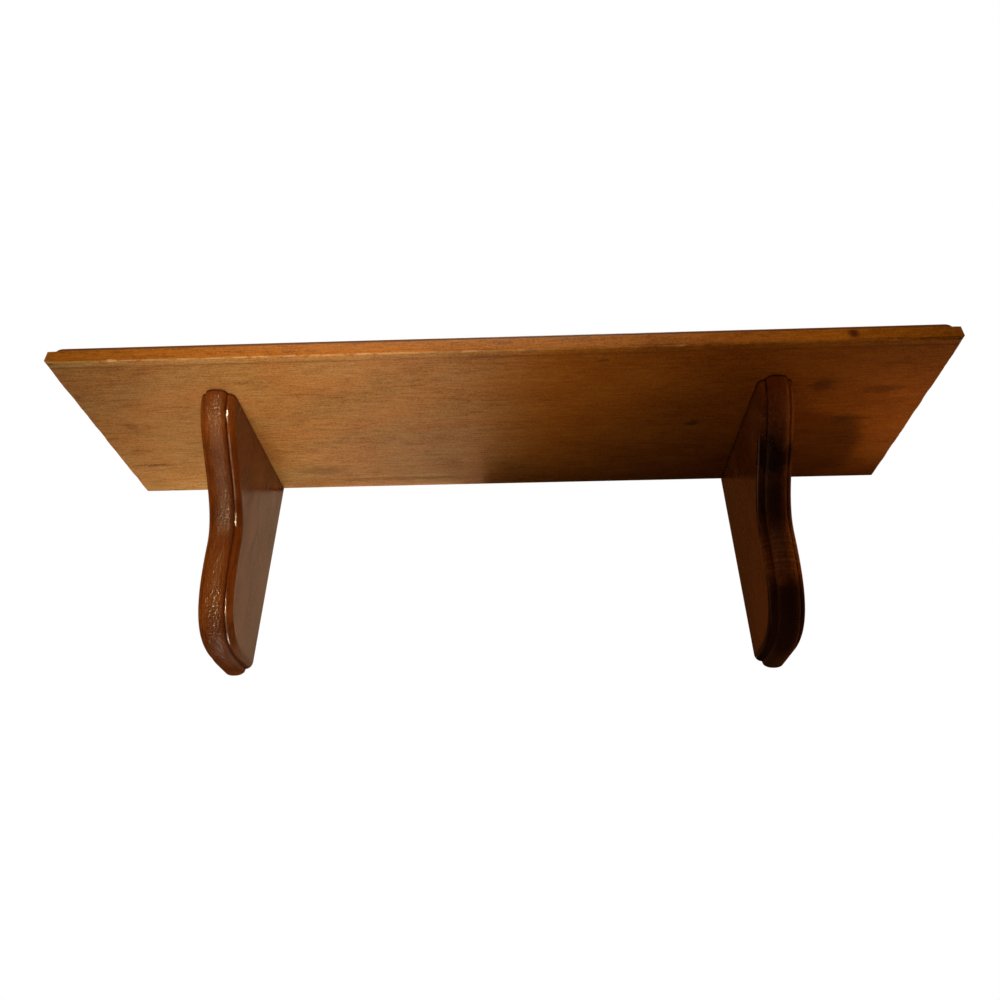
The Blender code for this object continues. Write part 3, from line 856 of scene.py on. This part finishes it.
def bracket_material(side, seed):
    """Dark red-brown varnished wood with the grain upright, rippled across its front edge."""
    material, graph, shader = new_material(f"bracket_wood_{side}")
    grain, plain = grain_space(graph, "Z", seed)
    tone, fibre, _ = wood_tone(graph, grain, 0.45, 1.3, 2.6)
    base = graph.ramp(tone, (
        (0.10, colour(0.055, 0.0105, 0.0015)),
        (0.50, colour(0.132, 0.031, 0.0042)),
        (0.90, colour(0.220, 0.066, 0.010)),
    ))
    along = graph.attribute("along")
    front = graph.attribute("front")
    mottle = graph.noise(graph.scaled(grain, (1 / 24, 1 / 6, 1 / 6)), 2.0, 0.5)
    # Painted shade: the side faces are made darker and more orange, most on the left bracket.
    cheek_shade = graph.fade(front, 0.5, 0.0, 0.0, CHEEK_SHADE[side])
    cheek_shade = graph.math("MULTIPLY", cheek_shade, graph.fade(mottle, 0.30, 0.70, 0.65, 1.0))
    base = graph.mix(cheek_shade, base, graph.mix(1.0, base, colour(0.50, 0.32, 0.10), "MULTIPLY"))
    # Painted glints: pale specks on the front near the nose, on the right bracket only.
    glint_flecks = graph.noise(graph.scaled(plain, (1 / 0.9, 1 / 1.5, 1 / 1.5)), 2.0)
    glint_flecks = graph.math("MULTIPLY", graph.fade(glint_flecks, 0.63, 0.72, 0.0, GLINT_SPECKS[side]), front)
    glint_flecks = graph.math("MULTIPLY", glint_flecks, stretch(graph, along, 14.0, 44.0, 6.0))
    run = graph.node("CombineXYZ", {0: along}).outputs[0]
    ripple = graph.noise(graph.scaled(graph.moved(run, (seed * 31, 0, 0)), (1 / 1.9, 0, 0)), 2.0)
    marked = graph.math("MULTIPLY", stretch(graph, along, *CUTTER_MARKS[side], 5.0), front)
    # Painted highlights: the ridges left by the cutter are made paler, most on the right bracket.
    ridge_highlights = graph.fade(ripple, 0.45, 0.62, 0.0, RIDGE_HIGHLIGHT[side])
    ridge_highlights = graph.math("MULTIPLY", ridge_highlights, marked)
    base = graph.mix(ridge_highlights, base, graph.mix(1.0, base, colour(1.9, 1.9, 1.9), "MULTIPLY"))
    patches = graph.noise(graph.scaled(plain, (1 / 13, 1 / 16, 1 / 16)), 3.0, 0.6)
    place = graph.math("MULTIPLY_ADD", graph.math("SUBTRACT", patches, 0.5), 34.0)
    graph.feed(place.node.inputs[2], along)
    # Dark patches: stains on the left bracket, painted shade on the right bracket.
    for start, end, strength in STAINS_AND_SHADE[side]:
        dark = graph.math("MULTIPLY", stretch(graph, place, start, end, 7.0), strength)
        dark = graph.math("MULTIPLY", dark, graph.fade(front, 0.0, 0.5))
        base = graph.mix(dark, base, colour(0.018, 0.0035, 0.0018))
    # Painted shade: darker towards the quirk between the crown and the bead.
    quirk_shade = graph.fade(graph.attribute("quirk_shade"), 0.2, 1.0, 0.0, 0.45)
    base = graph.mix(quirk_shade, base, colour(0.045, 0.009, 0.0015))
    # Painted shadow: the top 2 mm of each bracket, where it meets the board, made nearly black.
    height = graph.node("SeparateXYZ", {0: plain}).outputs[2]
    base = graph.mix(graph.fade(height, -1.8, -0.5, 0.0, 0.85), base, colour(0.024, 0.004, 0.001))
    base = graph.mix(glint_flecks, base, colour(0.36, 0.19, 0.08))
    graph.feed(shader.inputs["Base Color"], base)
    bead = graph.attribute("bead")
    rough = graph.math("MULTIPLY_ADD", bead, -0.05)
    graph.feed(rough.node.inputs[2], graph.fade(fibre, 0.3, 0.7, *BRACKET_ROUGHNESS))
    dulled = graph.fade(mottle, 0.38, 0.64, *CHEEK_DULLNESS)
    dulled = graph.math("MULTIPLY", graph.fade(front, 0.5, 0.0), dulled)
    graph.feed(shader.inputs["Roughness"], graph.math("ADD", rough, dulled))
    shader.inputs["Specular IOR Level"].default_value = BRACKET_GLOSS
    peel = graph.noise(graph.scaled(plain, (1 / 0.9, 1 / 1.5, 1 / 1.5)), 3.0, 0.65)
    open_pores = graph.math("SUBTRACT", front, bead, clamp=True)
    depth = graph.math("ADD", graph.math("MULTIPLY", open_pores, 1.2), 0.14)
    peel = graph.math("MULTIPLY", peel, depth)
    rippled = graph.math("ADD", marked, graph.math("MULTIPLY", front, 0.3))
    ripple = graph.math("MULTIPLY", ripple, rippled)
    relief = graph.math("ADD", peel, graph.math("MULTIPLY", fibre, 0.08))
    relief = graph.math("ADD", relief, graph.math("MULTIPLY", ripple, 0.55))
    bump = graph.node("Bump", {"Height": relief, "Strength": 1.0, "Distance": 0.00045})
    graph.feed(shader.inputs["Normal"], bump.outputs[0])
    return material


def plug_material():
    """Varnished wood with the grain along the shelf, for the plugs."""
    material, graph, shader = new_material("plug_wood")
    grain, _ = grain_space(graph, "X", 5.0)
    tone, fibre, _ = wood_tone(graph, grain, 0.8, 1.0, 1.0)
    base = graph.ramp(tone, (
        (0.10, colour(0.150, 0.045, 0.003)),
        (0.50, colour(0.265, 0.082, 0.005)),
        (0.90, colour(0.350, 0.125, 0.010)),
    ))
    graph.feed(shader.inputs["Base Color"], base)
    graph.feed(shader.inputs["Roughness"], graph.fade(fibre, 0.3, 0.7, *WOOD_ROUGHNESS))
    shader.inputs["Specular IOR Level"].default_value = WOOD_GLOSS
    bump = graph.node("Bump", {"Height": fibre, "Strength": 0.25, "Distance": 0.0001})
    graph.feed(shader.inputs["Normal"], bump.outputs[0])
    return material


def metal_material(name, clean, dull):
    """Plated steel, brushed a little and gone dull in patches."""
    material, graph, shader = new_material(name)
    coords = graph.scaled(graph.node("TexCoord").outputs["Object"], (1000, 1000, 1000))
    patches = graph.noise(graph.scaled(coords, (1 / 4, 1 / 4, 1 / 4)), 4.0, 0.6)
    brushed = graph.noise(graph.scaled(coords, (1 / 0.15, 1 / 0.15, 1 / 9)), 2.0)
    stain = graph.fade(patches, 0.42, 0.66)
    graph.feed(shader.inputs["Base Color"], graph.mix(stain, clean, dull))
    shader.inputs["Metallic"].default_value = 1.0
    graph.feed(shader.inputs["Roughness"], graph.fade(patches, 0.35, 0.7, 0.24, 0.46))
    bump = graph.node("Bump", {"Height": brushed, "Strength": 0.2, "Distance": 0.00005})
    graph.feed(shader.inputs["Normal"], bump.outputs[0])
    return material


def dress_nodes(material):
    """Gives the screws that stay as CAD nodes their finish."""
    for name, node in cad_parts.items():
        if "screw" in name:
            node.data.materials.clear()
            node.data.materials.append(material)


def build_camera():
    """The camera that took the photograph, with its principal point above the middle."""
    camera = bpy.data.objects.new("camera", bpy.data.cameras.new("camera"))
    bpy.context.scene.collection.objects.link(camera)
    camera.data.sensor_width = CAMERA_SENSOR
    camera.data.lens = CAMERA_LENS
    camera.data.shift_y = CAMERA_SHIFT
    camera.data.clip_start = 0.01
    turn = Matrix.Rotation(CAMERA_YAW, 4, "Z") @ Matrix.Rotation(CAMERA_PITCH, 4, "X")
    turn = turn @ Matrix.Rotation(CAMERA_ROLL, 4, "Y") @ Matrix.Rotation(math.radians(90), 4, "X")
    camera.matrix_world = Matrix.Translation(CAMERA_PLACE) @ turn
    bpy.context.scene.camera = camera


def add_lamp(name, place, target, size, power, tint, spread, rays):
    """A rectangular softbox at a place, turned towards a target."""
    lamp = bpy.data.lights.new(name, "AREA")
    lamp.shape = "RECTANGLE"
    lamp.size, lamp.size_y = size
    lamp.energy = power
    lamp.color = tint
    lamp.spread = math.radians(spread)
    holder = bpy.data.objects.new(name, lamp)
    bpy.context.scene.collection.objects.link(holder)
    way = Vector(target) - Vector(place)
    turn = way.to_track_quat("-Z", "Y").to_matrix().to_4x4()
    holder.matrix_world = Matrix.Translation(place) @ turn
    holder.visible_camera = False
    holder.visible_glossy = rays != "diffuse"
    holder.visible_diffuse = rays != "glossy"


def add_wall_card(name, left, right, power, tint, rays):
    """A glowing card in the plane of the wall, from the underside of the board down."""
    place = Vector(((left + right) / 2, CARD_BEHIND, BOARD_LOW.z - CARD_DROP / 2))
    size = (right - left, CARD_DROP)
    add_lamp(name, place, place - Vector((0, 1, 0)), size, power, tint, FULL_SPREAD, rays)


def build_studio():
    """The lamps and cards, a white ground and a pale floor."""
    for lamp in LAMPS:
        add_lamp(*lamp)
    for card in CARDS:
        add_wall_card(*card)

    world = bpy.data.worlds.new("studio")
    bpy.context.scene.world = world
    world.use_nodes = True
    graph = Graph(world.node_tree)
    path = graph.node("LightPath").outputs
    seen = graph.math("MAXIMUM", path["Is Camera Ray"], path["Is Transmission Ray"])
    around = graph.mix(path["Is Glossy Ray"], colour(*ROOM_DIFFUSE), colour(*ROOM_GLOSSY))
    ground = graph.mix(seen, around, colour(*WHITE))
    graph.feed(world.node_tree.nodes["Background"].inputs["Color"], ground)

    bm = bmesh.new()
    bmesh.ops.create_grid(bm, x_segments=1, y_segments=1, size=FLOOR_HALF)
    floor = make_object("floor", bm, Matrix.Translation((0, 0, FLOOR_Z)))
    material, graph, shader = new_material("floor_paper")
    path = graph.node("LightPath").outputs
    paper = graph.mix(path["Is Camera Ray"], colour(*PAPER_UNSEEN), colour(*PAPER))
    graph.feed(shader.inputs["Base Color"], paper)
    shader.inputs["Emission Color"].default_value = colour(*PAPER)
    glow = graph.math("MULTIPLY", path["Is Camera Ray"], PAPER_GLOW)
    graph.feed(shader.inputs["Emission Strength"], glow)
    shader.inputs["Roughness"].default_value = PAPER_ROUGHNESS
    floor.data.materials.append(material)
    bpy.context.scene.view_settings.view_transform = "Standard"


def main():
    """Builds the pieces, the studio and the camera."""
    build_board(board_material())
    plugs = plug_material()
    plate_steel = metal_material("plate_steel", colour(0.62, 0.55, 0.40), colour(0.40, 0.33, 0.22))
    screw_steel = metal_material("screw_steel", colour(0.60, 0.58, 0.55), colour(0.36, 0.33, 0.30))
    for number, side in enumerate(SIDES):
        build_bracket(side, bracket_material(side, 2.0 + number))
        build_plate(side, plate_steel)
        for place in ("front", "rear"):
            build_plug(f"plug_{place}_{side}", plugs)
    dress_nodes(screw_steel)
    build_studio()
    build_camera()


main()
